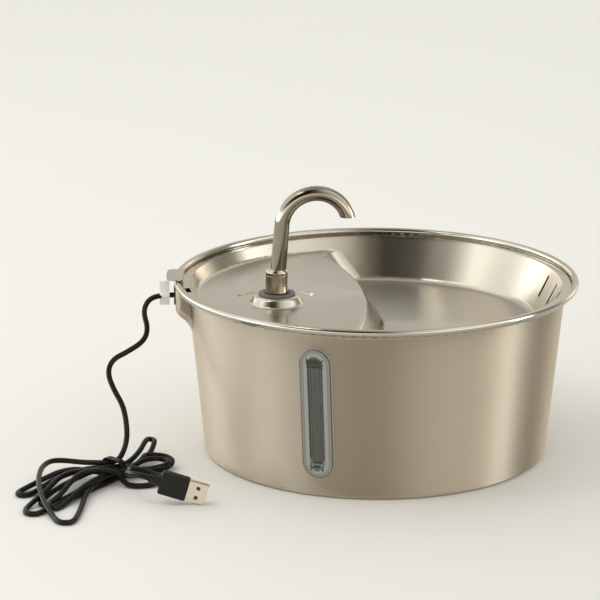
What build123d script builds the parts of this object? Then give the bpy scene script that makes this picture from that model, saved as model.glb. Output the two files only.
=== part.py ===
from build123d import *

import os
from math import cos, hypot, pi, radians, sin, tan

# Steel pet water fountain: a bowl with a water level window, a lift-out drinking tray, a
# gooseneck spout, and a USB pump inside a filter box.
#
# Millimetres, +Z up. The origin is the centre of the bowl's base. The drinking basin and its
# overflow slots lie towards +X, the cable outlet and the lift tab towards -X, and the water
# level window faces -Y.

# ------------------------------------------------------------------ driving dimensions
SHEET = 0.8  # steel thickness of the bowl and the tray
RUN_FIT = 0.05  # radial clearance of a shaft that turns in a bore
SLIDE_FIT = 0.1  # radial clearance of a piece that lifts out
LIFT_GAP = 0.3  # space under a piece that passes over its neighbour

# Bowl: a drawn cone with a ledge and a rolled rim
RIM_R = 125.0
RIM_Z = 110.0
RIM_OVERHANG = 8.4  # from the top of the wall out to the edge of the rim
WALL_RUN = 10.2  # how much wider the wall is at its top than at its foot
WALL_TOP_Z = 102.5
BASE_FILLET = 4.0
LEDGE_Z = 105.4  # top face of the ledge that carries the tray
LEDGE_RUN = 1.8  # from the top of the wall out to the start of the ledge
BEAD_R = 2.1
FLARE_FILLET = 1.6
BEAD_ROOT_FILLET = 1.0

# Cable outlet: a bulge pressed out of the wall below the rim
BULGE_DEPTH = 7.4  # from the top of the wall out to the face of the bulge
BULGE_WIDTH = 27.0
BULGE_FULL_Z = 90.2
BULGE_KNEE_Z = 84.6
BULGE_KNEE_DEPTH = 6.5  # from the face of the bulge in to the knee under it
BULGE_LOW_Z = 78.5
BULGE_EASE = 6.0  # rounding of the knee and of the shoulder above it
BULGE_CORNER = 5.0
BULGE_ROOT = 3.0  # how far the bulge is carried in behind the wall
OUTLET_Z = 99.2
OUTLET_WIDTH = 14.0
OUTLET_HEIGHT = 8.4
GROMMET_LIP = 1.1
GROMMET_LIP_DEPTH = 0.9

# Tray: platform on the -X side, deeper drinking basin on the +X side
FLANGE_GAP = 4.8  # from the edge of the rim in to the tray's flange
FLANGE_WIDTH = 5.2
TRAY_SLOPE = 27.5  # lean of every drawn wall of the tray, degrees from vertical
PLATFORM_Z = 98.4
BASIN_Z = 80.0
STEP_AZIMUTH = 1.5
STEP_ARC_R = 277.0
STEP_EDGE = -6.9  # where the edge of the platform crosses the tray's axis
STEP_CORNER = 14.0
BASIN_FILLET = 5.0
PLATFORM_FILLET = 3.0
SLOT_COUNT = 3
SLOT_PITCH = 10.5  # degrees round the tray
SLOT_WIDTH = 2.5
SLOT_HEIGHT = 14.0
SLOT_Z = 95.6
SLOT_REACH = 10.0  # how far the slots' cut runs each way through the leaning wall
TAB_AZIMUTH = 178.0
TAB_ARC = 12.0  # degrees round the tray
TAB_OVERHANG = 4.4  # how far the tab reaches past the edge of the rim
TAB_ROOT = 2.0  # from the inner edge of the flange out to the start of the tab
TAB_RISER = 4.8  # from the inner edge of the flange out to the tab's upright
TAB_CORNER = 4.0
TAB_BEND = 1.0
NOTCH_ARC = 4.8
NOTCH_START = 0.8  # from the inner edge of the flange out to the notch
NOTCH_DEPTH = 9.6
NOTCH_GAP = 1.0  # degrees between the tab and the notch

# Boss of the tray, on the axis of the spout
SPOUT_X = -62.0
SPOUT_Y = -16.8
BOSS_Z = 103.5
BOSS_FOOT_R = 16.2
BOSS_TOP_R = 13.4
BOSS_SEAT_R = 19.5
BOSS_HOLE_R = 9.6
BOSS_FOOT_FILLET = 2.2
BOSS_TOP_FILLET = 2.6
RIB_R = 28.0
RIB_ARC = 24.0
RIB_AZIMUTHS = (50.0, 132.0)
RIB_SECTION_R = 2.6
RIB_HEIGHT = 0.7

# Spout
TAIL_R = 4.0
TAIL_BORE_R = 3.0
TAIL_Z = 76.5
NECK_FOOT_R = 5.0
NECK_R = 4.62
NECK_BORE_R = 3.5
LEAN = 4.5  # degrees that the riser leans towards the basin
LEAN_Z = 107.0
RISER_LENGTH = 40.0
RISE_ARC_R = 21.3
FALL_ARC_R = 19.4
TIP_Z = 151.8
PLUG_FLANGE_R = 11.3
PLUG_FLANGE = 1.2
PLUG_DEPTH = 5.0
PLUG_TAPER = 0.8
WASHER_R = 7.6
WASHER = 0.8
COLLAR_FOOT_R = 7.1
COLLAR_SHOULDER_R = 6.7
COLLAR_TOP_R = 5.5
COLLAR_SHOULDER = 12.6  # height of the shoulder above the washer
COLLAR_HEIGHT = 14.2
COLLAR_RING = 2.2  # height of the plain ring under the shoulder, above a fine groove
COLLAR_GROOVE = 0.35  # width and depth of that groove
COLLAR_EASE = 0.7  # rounding of the shoulder's two edges

# Water level window
WINDOW_AZIMUTH = -112.0
WINDOW_Z = 54.0
WINDOW_WIDTH = 19.0
WINDOW_HEIGHT = 81.5
WINDOW_CUT_WIDTH = 15.0
WINDOW_CUT_HEIGHT = 77.5
WINDOW_GAP = 0.2
CHANNEL_WIDTH = 9.4
CHANNEL_HEIGHT = 68.7
CHANNEL_DEPTH = 0.7
LENS_FLANGE = 1.3
GASKET = 0.5
GASKET_MARGIN = 0.35
CLAMP_THICKNESS = 2.0
CLAMP_MARGIN = 1.0
SCREW_R = 0.9
SCREW_HEAD_R = 1.7
SCREW_HEAD = 1.0
SCREW_X = 3.2
SCREW_Y = 35.6
SCREW_LENGTH = 4.2
WALL_REACH = 8.0  # more than any window piece reaches through the curved wall

# Filter box, standing on the floor of the bowl
BOX_OFFSET_X = 12.0  # from the axis of the spout to the axis of the box
BOX_R = 38.0
BOX_WALL = 2.0
BOX_HEIGHT = 46.0
BOX_CORNER = 3.0
LID_HEIGHT = 13.2
LID_THICKNESS = 2.0
LID_RIM_DEPTH = 3.0
LID_RIM = 1.6
LID_RIM_GAP = 0.3
LID_SLOT_COUNT = 14
LID_SLOT_R = 27.0
LID_SLOT_LENGTH = 10.0
LID_SLOT_WIDTH = 2.6
LID_EDGE = 1.5
CHIMNEY_R = 6.5
CHIMNEY_WALL = 1.5
LEDGE_RING = 1.2  # lip inside the lid that holds the cartridge up
LEAD_NOTCH_WIDTH = 6.0
LEAD_NOTCH_DEPTH = 6.0
LEAD_NOTCH_AZIMUTH = 160.5
CARTRIDGE_GAP = 0.3
CARTRIDGE_WALL = 1.6
CARTRIDGE_BARS = 4  # bars across the frame, under the pad
BAR_WIDTH = 1.6
BAR_THICKNESS = 1.2

# Pump, measured from the axis of the spout towards the motor (+X)
PUMP_FLOOR_GAP = 3.2  # height of the suction cups under the pump
MOTOR_START = 5.0
MOTOR_LENGTH = 26.0
MOTOR_WIDTH = 30.0
MOTOR_HEIGHT = 31.0
MOTOR_CORNER = 5.0
MOTOR_END_EDGE = 2.0
ROTOR_Z = 21.0
VOLUTE_R = 14.0
VOLUTE_BACK = -6.0
CHAMBER_R = 11.6
CHAMBER_BACK = 3.0
COVER_THICKNESS = 2.4
COVER_EDGE = 1.0
COVER_SLOTS = 6
COVER_SLOT_WIDTH = 1.6
COVER_SLOT_LENGTH = 5.0
COVER_SLOT_R = 6.4
WELL_R = 6.3
WELL_END = 25.5
SPIGOT_R = 4.05
SPIGOT_BORE_R = 2.8
SPIGOT_Z = 60.0
SLEEVE_R = 6.1
SLEEVE_BORE_R = 4.1
SLEEVE_LOW_Z = 50.0
SLEEVE_TOP_Z = 84.0
MAGNET_R = 5.7
MAGNET_START = 4.2
MAGNET_END = 22.5
SHAFT_R = 1.0
BUSH_R = 2.2
BUSH_LENGTH = 2.4
HUB_R = 3.6
BLADE_COUNT = 6
BLADE_R = 10.6
BLADE_THICKNESS = 1.0
BLADE_START = -4.6
BLADE_END = 1.6
DISC_THICKNESS = 1.0
CUP_R = 4.6
CUP_STEM_R = 1.8
CUP_STEM = 2.0
CUP_LIP = 0.5
CUP_X = (10.0, 26.0)
CUP_Y = 9.5

# Foam filter: a ring between the pump and the wall of the box
FOAM_OUTER_GAP = 0.4
FOAM_WIDTH = 7.5
FOAM_HEIGHT = 34.0
FOAM_FLOOR_GAP = 0.3
FOAM_LEAD_GAP = 40.0  # degrees of the ring left open for the lead

# Cord
CORD_R = 1.65
RUN_SHARE = 0.45  # share of the shorter run that each bend may use
# the lead from the pump, with x and y measured from the axis of the spout
LEAD_START = [
    (20.0, 15.0, 28.0),
    (20.0, 23.2, 28.0),
    (11.6, 24.2, 33.6),
    (1.0, 14.8, 40.0),
    (-22.9, 12.4, 43.5),
]
# the rest of the lead, with x measured from the face of the cable outlet
LEAD_END = [
    (26.9, -2.6, 48.5),
    (19.9, -0.8, 61.0),
    (15.5, 0.0, 74.0),
    (11.9, 0.0, 87.0),
    (7.9, 0.0, OUTLET_Z),
    (0.0, 0.0, OUTLET_Z),
]
# from the outlet down to the hank, measured the same way
CORD_RUN = [
    (0.0, 0.0, OUTLET_Z),
    (-8.3, 0.0, OUTLET_Z),
    (-15.7, -4.0, 97.7),
    (-19.1, -10.6, 91.8),
    (-16.1, -17.0, 83.0),
    (-18.6, -20.5, 75.7),
    (-29.1, -26.4, 70.6),
    (-38.1, -30.6, 67.2),
    (-41.1, -34.8, 60.2),
    (-37.6, -40.2, 51.5),
    (-31.6, -46.2, 42.5),
    (-29.5, -50.5, 31.0),
    (-29.8, -51.0, 20.5),
    (-33.8, -52.5, 10.0),
]
HANK_HEIGHT = 11.0
HANK_FILLET = 2.5
# outline of the tied hank on the floor, widest where its loops fan out, x from the outlet's face
HANK_OUTLINE = [
    (-96.1, -80.0),
    (-90.1, -115.0),
    (-78.1, -134.0),
    (-63.1, -141.0),
    (-53.1, -124.0),
    (-46.1, -94.0),
    (-33.1, -73.0),
    (-16.1, -74.0),
    (-3.1, -62.0),
    (-1.1, -44.0),
    (-5.1, -26.0),
    (-9.1, -12.0),
    (-16.1, -3.5),
    (-24.1, -11.0),
    (-31.1, -34.0),
    (-43.1, -48.0),
    (-59.1, -42.0),
    (-75.1, -32.0),
    (-88.1, -46.0),
]
TIE_X = -37.6  # from the outlet's face
TIE_Y = -56.5
TIE_AZIMUTH = 46.0
TIE_WIDTH = 4.4
TIE_SPAN = 17.0
TIE_HEIGHT = 12.4
TIE_THICKNESS = 0.9
TAG_X = -5.7  # from the outlet's face
TAG_LENGTH = 6.0
TAG_HEIGHT = 15.0
TAG_RISE = 1.4
TAG_THICKNESS = 0.7
TAG_WRAP = 0.6

# USB plug, held up at its back by the cord, with its nose on the floor
USB_X = -9.7  # from the outlet's face
USB_Y = -105.5
USB_AZIMUTH = -4.5
USB_DIP = 16.7  # slope of its axis, down to the nose
USB_TILT = 1.0  # lean of its wide face, degrees from upright
USB_LENGTH = 16.9
USB_WIDTH = 14.0
USB_THICKNESS = 7.0
USB_CORNER = 1.2
SHELL_LENGTH = 11.7
SHELL_WIDTH = 12.0
SHELL_THICKNESS = 4.5
SHELL_WALL = 0.3
SHELL_HOLE = 2.2
SHELL_HOLE_PITCH = 5.9
SHELL_HOLE_X = 5.9
TONGUE_THICKNESS = 1.9
TONGUE_WIDTH = 11.2
TONGUE_LENGTH = 10.9
BOOT_LENGTH = 7.0
BOOT_R = 3.2
BOOT_END_R = 2.4
CORD_END_STRAIGHT = 6.0  # how far the cord goes on straight behind the boot
# from there back into the hank, x from the outlet's face
CORD_END_RUN = [
    (-28.1, -97.0, 15.0),
    (-32.1, -86.0, 10.5),
    (-36.1, -74.0, 7.0),
    (-37.6, -64.0, 6.0),
]

# ------------------------------------------------------------------ derived places
WALL_TOP_R = RIM_R - RIM_OVERHANG
BASE_R = WALL_TOP_R - WALL_RUN
LEDGE_START_R = WALL_TOP_R + LEDGE_RUN
BULGE_R = WALL_TOP_R + BULGE_DEPTH
FLANGE_OUTER_R = RIM_R - FLANGE_GAP
FLANGE_INNER_R = FLANGE_OUTER_R - FLANGE_WIDTH
OUTLET_X = -BULGE_R - GROMMET_LIP_DEPTH
WALL_SLOPE = (WALL_TOP_R - BASE_R) / (WALL_TOP_Z - SHEET / 2)
WALL_STRETCH = hypot(1, WALL_SLOPE)  # level distance across the wall over its true thickness
TRAY_TAN = tan(radians(TRAY_SLOPE))
FLANGE_Z = LEDGE_Z + SHEET
BOX_X = SPOUT_X + BOX_OFFSET_X
BOX_FLOOR_Z = SHEET
BOX_TOP_Z = BOX_FLOOR_Z + BOX_HEIGHT
LID_TOP_Z = BOX_TOP_Z + LID_HEIGHT
PUMP_Z = BOX_FLOOR_Z + BOX_WALL + PUMP_FLOOR_GAP
PLUG_TOP_Z = BOSS_Z + PLUG_FLANGE
COLLAR_Z = PLUG_TOP_Z + WASHER
SPOUT_AXIS = Axis((SPOUT_X, SPOUT_Y, 0), (0, 0, 1))
SPOUT_PROFILE = Plane((SPOUT_X, SPOUT_Y, 0), x_dir=(1, 0, 0), z_dir=(0, -1, 0))

os.makedirs("parts", exist_ok=True)
finished = []


def finish(node, label):
    """Label a finished piece and write its STEP file."""
    node.part.label = label
    export_step(node.part, f"parts/{label}.step")
    finished.append(node.part)


def radial_plane(azimuth):
    """Plane through the bowl's axis, with x outwards at this azimuth and y up."""
    out = (cos(radians(azimuth)), sin(radians(azimuth)), 0)
    return Plane((0, 0, 0), x_dir=out, z_dir=(out[1], -out[0], 0))


def rotor_plane(distance):
    """Plane across the rotor's axis, this far from the axis of the spout."""
    return Plane((SPOUT_X + distance, SPOUT_Y, ROTOR_Z), x_dir=(0, 1, 0), z_dir=(1, 0, 0))


def wall_radius(height, outwards=0.0):
    """Radius of the bowl's cone at this height, this far out from its outer face."""
    middle = BASE_R - SHEET / 2 + WALL_SLOPE * (height - SHEET / 2)
    return middle + (SHEET / 2 + outwards) * WALL_STRETCH


def wall_shell(inner, outer):
    """Cone shell between two distances from the outer face of the bowl's wall."""
    with BuildPart(mode=Mode.PRIVATE) as shell:
        with BuildSketch(Plane.XZ):
            with BuildLine():
                Polyline(
                    (wall_radius(0, inner), 0),
                    (wall_radius(0, outer), 0),
                    (wall_radius(WALL_TOP_Z, outer), WALL_TOP_Z),
                    (wall_radius(WALL_TOP_Z, inner), WALL_TOP_Z),
                    close=True,
                )
            make_face()
        revolve(axis=Axis.Z)
    return shell.part


def bend_radii(points):
    """Largest smooth radius at each corner of a cord's route."""
    route = [Vector(point) for point in points]
    radii = []
    for before, corner, after in zip(route, route[1:], route[2:]):
        arriving = corner - before
        leaving = after - corner
        turn = arriving.get_angle(leaving)
        run = min(arriving.length, leaving.length)
        radii.append(RUN_SHARE * run / tan(radians(turn / 2)))
    return radii


# ------------------------------------------------------------------ bowl
def bulge_block(inset):
    """Solid of the cable outlet's bulge; inset by the sheet's thickness it is the hollow."""
    face_r = BULGE_R - inset
    half_width = BULGE_WIDTH / 2 - inset
    root_r = wall_radius(BULGE_LOW_Z) - BULGE_ROOT
    with BuildPart(mode=Mode.PRIVATE) as block:
        with BuildSketch(Plane.XZ):
            with BuildLine():
                low = (-wall_radius(BULGE_LOW_Z, -SHEET / 2), BULGE_LOW_Z + inset)
                high = (-face_r, LEDGE_Z - inset)
                FilletPolyline(
                    low,
                    (-face_r + BULGE_KNEE_DEPTH, BULGE_KNEE_Z + inset),
                    (-face_r, BULGE_FULL_Z + inset),
                    high,
                    radius=[BULGE_EASE + inset, BULGE_EASE - inset],
                )
                Polyline(high, (-root_r, high[1]), (-root_r, low[1]), low)
            make_face()
        extrude(amount=half_width, both=True)
        sides = block.faces().filter_by(Axis.Y).edges()
        outline = sides.filter_by(Axis.X, reverse=True).group_by(Axis.X)[:-1]
        fillet([edge for group in outline for edge in group], BULGE_CORNER - inset)
    return block.part


with BuildPart() as bulge:
    # trimmed to the middle of the wall that it grows from
    add(bulge_block(0))
    with BuildSketch(Plane.XZ):
        with BuildLine():
            Polyline(
                (0, 0),
                (wall_radius(0, -SHEET / 2), 0),
                (wall_radius(WALL_TOP_Z, -SHEET / 2), WALL_TOP_Z),
                (LEDGE_START_R, LEDGE_Z - SHEET / 2),
                (LEDGE_START_R, RIM_Z),
                (0, RIM_Z),
                close=True,
            )
        make_face()
    revolve(axis=Axis.Z, mode=Mode.SUBTRACT)

with BuildPart() as bowl:
    with BuildSketch(Plane.XZ):
        with BuildLine():
            FilletPolyline(
                (0, SHEET / 2),
                (BASE_R - SHEET / 2, SHEET / 2),
                (WALL_TOP_R - SHEET / 2, WALL_TOP_Z),
                (LEDGE_START_R, LEDGE_Z - SHEET / 2),
                (RIM_R - BEAD_R, LEDGE_Z - SHEET / 2),
                (RIM_R - BEAD_R, RIM_Z - BEAD_R),
                radius=[BASE_FILLET, FLARE_FILLET, FLARE_FILLET, BEAD_ROOT_FILLET],
            )
        trace(line_width=SHEET)
        with Locations((RIM_R - BEAD_R, RIM_Z - BEAD_R)):
            Circle(BEAD_R)
    revolve(axis=Axis.Z)
    add(bulge.part)
    add(bulge_block(SHEET), mode=Mode.SUBTRACT)
    # cable outlet
    with BuildSketch(Plane((-BULGE_R, 0, OUTLET_Z), x_dir=(0, 1, 0), z_dir=(-1, 0, 0))):
        SlotOverall(OUTLET_WIDTH, OUTLET_HEIGHT)
    extrude(amount=BULGE_CORNER, both=True, mode=Mode.SUBTRACT)
    # window opening
    window_out = (cos(radians(WINDOW_AZIMUTH)), sin(radians(WINDOW_AZIMUTH)), -WALL_SLOPE)
    window_plane = Plane(
        (
            wall_radius(WINDOW_Z) * window_out[0],
            wall_radius(WINDOW_Z) * window_out[1],
            WINDOW_Z,
        ),
        x_dir=(-window_out[1], window_out[0], 0),
        z_dir=window_out,
    )
    with BuildSketch(window_plane):
        SlotOverall(WINDOW_CUT_HEIGHT, WINDOW_CUT_WIDTH, rotation=90)
    extrude(amount=WALL_REACH, both=True, mode=Mode.SUBTRACT)
finish(bowl, "bowl")


# ------------------------------------------------------------------ water level window
def window_prism(width, height, cut_width=0.0, cut_height=0.0):
    """Obround prism, or obround ring, across the bowl's wall at the window."""
    with BuildPart(mode=Mode.PRIVATE) as prism:
        with BuildSketch(window_plane):
            SlotOverall(height, width, rotation=90)
            if cut_width:
                SlotOverall(cut_height, cut_width, rotation=90, mode=Mode.SUBTRACT)
        extrude(amount=WALL_REACH, both=True)
    return prism.part


SCREW_HOLE_END = SCREW_LENGTH - SHEET - CLAMP_THICKNESS - SCREW_HEAD + SLIDE_FIT
SCREW_PLACES = [(x, y) for x in (-SCREW_X, SCREW_X) for y in (-SCREW_Y, SCREW_Y)]
NECK_WIDTH = WINDOW_CUT_WIDTH - 2 * WINDOW_GAP
NECK_HEIGHT = WINDOW_CUT_HEIGHT - 2 * WINDOW_GAP

with BuildPart() as window_lens:
    add(window_prism(WINDOW_WIDTH, WINDOW_HEIGHT))
    add(wall_shell(GASKET, GASKET + LENS_FLANGE), mode=Mode.INTERSECT)
    neck_prism = window_prism(NECK_WIDTH, NECK_HEIGHT)
    add(neck_prism & wall_shell(-SHEET, GASKET))
    channel = window_prism(CHANNEL_WIDTH, CHANNEL_HEIGHT)
    channel_depth = wall_shell(GASKET + LENS_FLANGE - CHANNEL_DEPTH, GASKET + 2 * LENS_FLANGE)
    add(channel & channel_depth, mode=Mode.SUBTRACT)
    with BuildSketch(window_plane.offset(SCREW_HOLE_END)):
        with Locations(*SCREW_PLACES):
            Circle(SCREW_R + RUN_FIT)
    extrude(amount=-WALL_REACH, mode=Mode.SUBTRACT)
finish(window_lens, "window_lens")

with BuildPart() as window_gasket:
    margin = 2 * GASKET_MARGIN
    add(window_prism(WINDOW_WIDTH + margin, WINDOW_HEIGHT + margin, NECK_WIDTH, NECK_HEIGHT))
    add(wall_shell(0, GASKET), mode=Mode.INTERSECT)
finish(window_gasket, "window_gasket")

with BuildPart() as window_clamp:
    margin = 2 * CLAMP_MARGIN
    add(
        window_prism(
            WINDOW_WIDTH + margin, WINDOW_HEIGHT + margin, CHANNEL_WIDTH, CHANNEL_HEIGHT
        )
    )
    add(wall_shell(-SHEET - CLAMP_THICKNESS, -SHEET), mode=Mode.INTERSECT)
    with BuildSketch(window_plane.offset(SCREW_HOLE_END)):
        with Locations(*SCREW_PLACES):
            Circle(SCREW_R + RUN_FIT)
    extrude(amount=-WALL_REACH, mode=Mode.SUBTRACT)
finish(window_clamp, "window_clamp")

with BuildPart() as window_screws:
    head_plane = window_plane.offset(-SHEET - CLAMP_THICKNESS - SCREW_HEAD)
    with BuildSketch(head_plane):
        with Locations(*SCREW_PLACES):
            Circle(SCREW_HEAD_R)
    extrude(amount=SCREW_HEAD - 2 * RUN_FIT)
    with BuildSketch(head_plane):
        with Locations(*SCREW_PLACES):
            Circle(SCREW_R)
    extrude(amount=SCREW_LENGTH)
finish(window_screws, "window_screws")

# ------------------------------------------------------------------ cable grommet
with BuildPart() as cable_grommet:
    lip_plane = Plane((-BULGE_R, 0, OUTLET_Z), x_dir=(0, 1, 0), z_dir=(-1, 0, 0))
    for start, depth, margin in (
        (0, GROMMET_LIP_DEPTH, GROMMET_LIP),
        (-SHEET, SHEET, 0),
        (-SHEET - GROMMET_LIP_DEPTH, GROMMET_LIP_DEPTH, GROMMET_LIP),
    ):
        with BuildSketch(lip_plane.offset(start)):
            SlotOverall(OUTLET_WIDTH + 2 * margin, OUTLET_HEIGHT + 2 * margin)
        extrude(amount=depth)
    with BuildSketch(lip_plane.offset(-SHEET - GROMMET_LIP_DEPTH)):
        Circle(CORD_R + RUN_FIT)
    extrude(amount=SHEET + 2 * GROMMET_LIP_DEPTH, mode=Mode.SUBTRACT)
finish(cable_grommet, "cable_grommet")


# ------------------------------------------------------------------ tray
def tray_hollow(grow):
    """The space that the tray encloses, grown outwards by this thickness of sheet."""
    side = grow / cos(radians(TRAY_SLOPE))
    top_r = FLANGE_INNER_R + side
    floor_z = BASIN_Z - grow
    platform_z = PLATFORM_Z - grow
    floor_r = top_r - (FLANGE_Z - floor_z) * TRAY_TAN
    step_x = STEP_EDGE - STEP_ARC_R
    edge_x = STEP_EDGE - side
    foot_x = edge_x + (platform_z - floor_z) * TRAY_TAN
    with BuildPart(mode=Mode.PRIVATE) as hollow:
        with BuildSketch(Plane.XZ):
            with BuildLine():
                Polyline(
                    (0, floor_z), (floor_r, floor_z), (top_r, FLANGE_Z), (0, FLANGE_Z), close=True
                )
            make_face()
        revolve(axis=Axis.Z)
        with BuildSketch(Plane.XZ):
            with BuildLine():
                Polyline(
                    (step_x, floor_z),
                    (foot_x, floor_z),
                    (edge_x, platform_z),
                    (step_x, platform_z),
                    close=True,
                )
            make_face()
        revolve(axis=Axis((step_x, 0, 0), (0, 0, 1)), mode=Mode.SUBTRACT)
        height = platform_z - floor_z
        corners = [
            edge for edge in hollow.edges() if abs(edge.bounding_box().size.Z - height) < SHEET / 4
        ]
        fillet(corners, STEP_CORNER + grow)
        fillet(hollow.faces().sort_by(Axis.Z)[0].edges(), BASIN_FILLET + grow)
        platform = hollow.faces().filter_by(Axis.Z).group_by(Axis.Z)[1]
        fillet(platform.edges(), PLATFORM_FILLET)
    return hollow.part.rotate(Axis.Z, STEP_AZIMUTH)


with BuildPart() as tray:
    add(tray_hollow(SHEET))
    with BuildSketch(Plane.XY.offset(LEDGE_Z)):
        Circle(FLANGE_OUTER_R)
        Circle(FLANGE_INNER_R, mode=Mode.SUBTRACT)
    extrude(amount=SHEET)
    add(tray_hollow(0), mode=Mode.SUBTRACT)
    # pressed boss round the spout's hole
    with BuildSketch(Plane.XY.offset(PLATFORM_Z - 2 * SHEET)):
        with Locations((SPOUT_X, SPOUT_Y)):
            Circle(BOSS_FOOT_R)
    extrude(amount=4 * SHEET, mode=Mode.SUBTRACT)
    with BuildSketch(SPOUT_PROFILE):
        with BuildLine():
            FilletPolyline(
                (BOSS_SEAT_R, PLATFORM_Z - SHEET / 2),
                (BOSS_FOOT_R, PLATFORM_Z - SHEET / 2),
                (BOSS_TOP_R, BOSS_Z - SHEET / 2),
                (BOSS_HOLE_R, BOSS_Z - SHEET / 2),
                radius=[BOSS_FOOT_FILLET, BOSS_TOP_FILLET],
            )
        trace(line_width=SHEET)
    revolve(axis=SPOUT_AXIS)
    # two short pressed ribs behind the boss
    for azimuth in RIB_AZIMUTHS:
        start = Plane(
            (SPOUT_X, SPOUT_Y, 0),
            x_dir=(cos(radians(azimuth - RIB_ARC / 2)), sin(radians(azimuth - RIB_ARC / 2)), 0),
            z_dir=(sin(radians(azimuth - RIB_ARC / 2)), -cos(radians(azimuth - RIB_ARC / 2)), 0),
        )
        with BuildSketch(start):
            with Locations((RIB_R, PLATFORM_Z + RIB_HEIGHT - RIB_SECTION_R)):
                Circle(RIB_SECTION_R)
            with Locations((RIB_R, PLATFORM_Z - SHEET / 2 - RIB_SECTION_R)):
                Rectangle(4 * RIB_SECTION_R, 2 * RIB_SECTION_R, mode=Mode.SUBTRACT)
        revolve(axis=SPOUT_AXIS, revolution_arc=RIB_ARC)
    # overflow slots
    for index in range(SLOT_COUNT):
        turn = STEP_AZIMUTH + (index - (SLOT_COUNT - 1) / 2) * SLOT_PITCH
        outwards = (cos(radians(turn)), sin(radians(turn)), 0)
        slot_plane = Plane(
            (FLANGE_INNER_R * outwards[0], FLANGE_INNER_R * outwards[1], SLOT_Z),
            x_dir=(-outwards[1], outwards[0], 0),
            z_dir=outwards,
        )
        with BuildSketch(slot_plane):
            SlotOverall(SLOT_HEIGHT, SLOT_WIDTH, rotation=90)
        extrude(amount=SLOT_REACH, both=True, mode=Mode.SUBTRACT)
    # lift tab, bent up inside the rim and out over it
    tab_top = RIM_Z + LIFT_GAP + SHEET / 2
    with BuildSketch(radial_plane(TAB_AZIMUTH - TAB_ARC / 2)):
        with BuildLine():
            FilletPolyline(
                (FLANGE_INNER_R + TAB_ROOT, FLANGE_Z - SHEET / 2),
                (FLANGE_INNER_R + TAB_RISER, FLANGE_Z - SHEET / 2),
                (FLANGE_INNER_R + TAB_RISER, tab_top),
                (RIM_R + TAB_OVERHANG, tab_top),
                radius=TAB_BEND,
            )
        trace(line_width=SHEET)
    revolve(axis=Axis.Z, revolution_arc=TAB_ARC)
    tab_corners = tray.edges().filter_by(Axis.Z).sort_by(Axis.X)[0:2]
    fillet(tab_corners, TAB_CORNER)
    # notch in the flange beside the tab
    notch_start = TAB_AZIMUTH + TAB_ARC / 2 + NOTCH_GAP
    with BuildSketch(radial_plane(notch_start)):
        with Locations((FLANGE_INNER_R + NOTCH_START, LEDGE_Z - SHEET)):
            Rectangle(NOTCH_DEPTH, 3 * SHEET, align=(Align.MIN, Align.MIN))
    revolve(axis=Axis.Z, revolution_arc=NOTCH_ARC, mode=Mode.SUBTRACT)
finish(tray, "tray")

# ------------------------------------------------------------------ spout
with BuildPart() as spout_grommet:
    with BuildSketch(SPOUT_PROFILE):
        with BuildLine():
            Polyline(
                (TAIL_R + RUN_FIT, BOSS_Z - PLUG_DEPTH),
                (BOSS_HOLE_R - SLIDE_FIT - PLUG_TAPER, BOSS_Z - PLUG_DEPTH),
                (BOSS_HOLE_R - SLIDE_FIT, BOSS_Z - SHEET),
                (BOSS_HOLE_R - SLIDE_FIT, BOSS_Z),
                (PLUG_FLANGE_R, BOSS_Z),
                (PLUG_FLANGE_R, PLUG_TOP_Z),
                (TAIL_R + RUN_FIT, PLUG_TOP_Z),
                close=True,
            )
        make_face()
    revolve(axis=SPOUT_AXIS)
    top_rim = spout_grommet.edges().filter_by(GeomType.CIRCLE).group_by(Axis.Z)[-1]
    fillet(top_rim.sort_by(SortBy.RADIUS)[-1], PLUG_FLANGE / 2)
finish(spout_grommet, "spout_grommet")

with BuildPart() as spout_washer:
    with BuildSketch(Plane.XY.offset(PLUG_TOP_Z)):
        with Locations((SPOUT_X, SPOUT_Y)):
            Circle(WASHER_R)
            Circle(TAIL_R, mode=Mode.SUBTRACT)
    extrude(amount=WASHER)
finish(spout_washer, "spout_washer")

lean_dir = (sin(radians(LEAN)), cos(radians(LEAN)))
riser_top = (RISER_LENGTH * lean_dir[0], LEAN_Z + RISER_LENGTH * lean_dir[1])
APEX_X = riser_top[0] + RISE_ARC_R * lean_dir[1]
riser_foot_plane = Plane(
    (SPOUT_X, SPOUT_Y, LEAN_Z), x_dir=(0, 1, 0), z_dir=(lean_dir[0], 0, lean_dir[1])
)

with BuildPart() as neck_outside:
    # tail, then the riser that narrows as it leans, then the bend
    with BuildSketch(Plane.XY.offset(TAIL_Z)):
        with Locations((SPOUT_X, SPOUT_Y)):
            Circle(TAIL_R)
    extrude(amount=LEAN_Z - TAIL_Z)
    with BuildSketch(riser_foot_plane):
        Circle(NECK_FOOT_R)
    with BuildSketch(riser_foot_plane.offset(RISER_LENGTH)):
        Circle(NECK_R)
    loft()
    with BuildLine(SPOUT_PROFILE) as bend:
        rise = JernArc(riser_top, lean_dir, RISE_ARC_R, LEAN - 90)
        JernArc(rise @ 1, (1, 0), FALL_ARC_R, -90)
    with BuildSketch(riser_foot_plane.offset(RISER_LENGTH)):
        Circle(NECK_R)
    sweep(path=bend.wires()[0])

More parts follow.
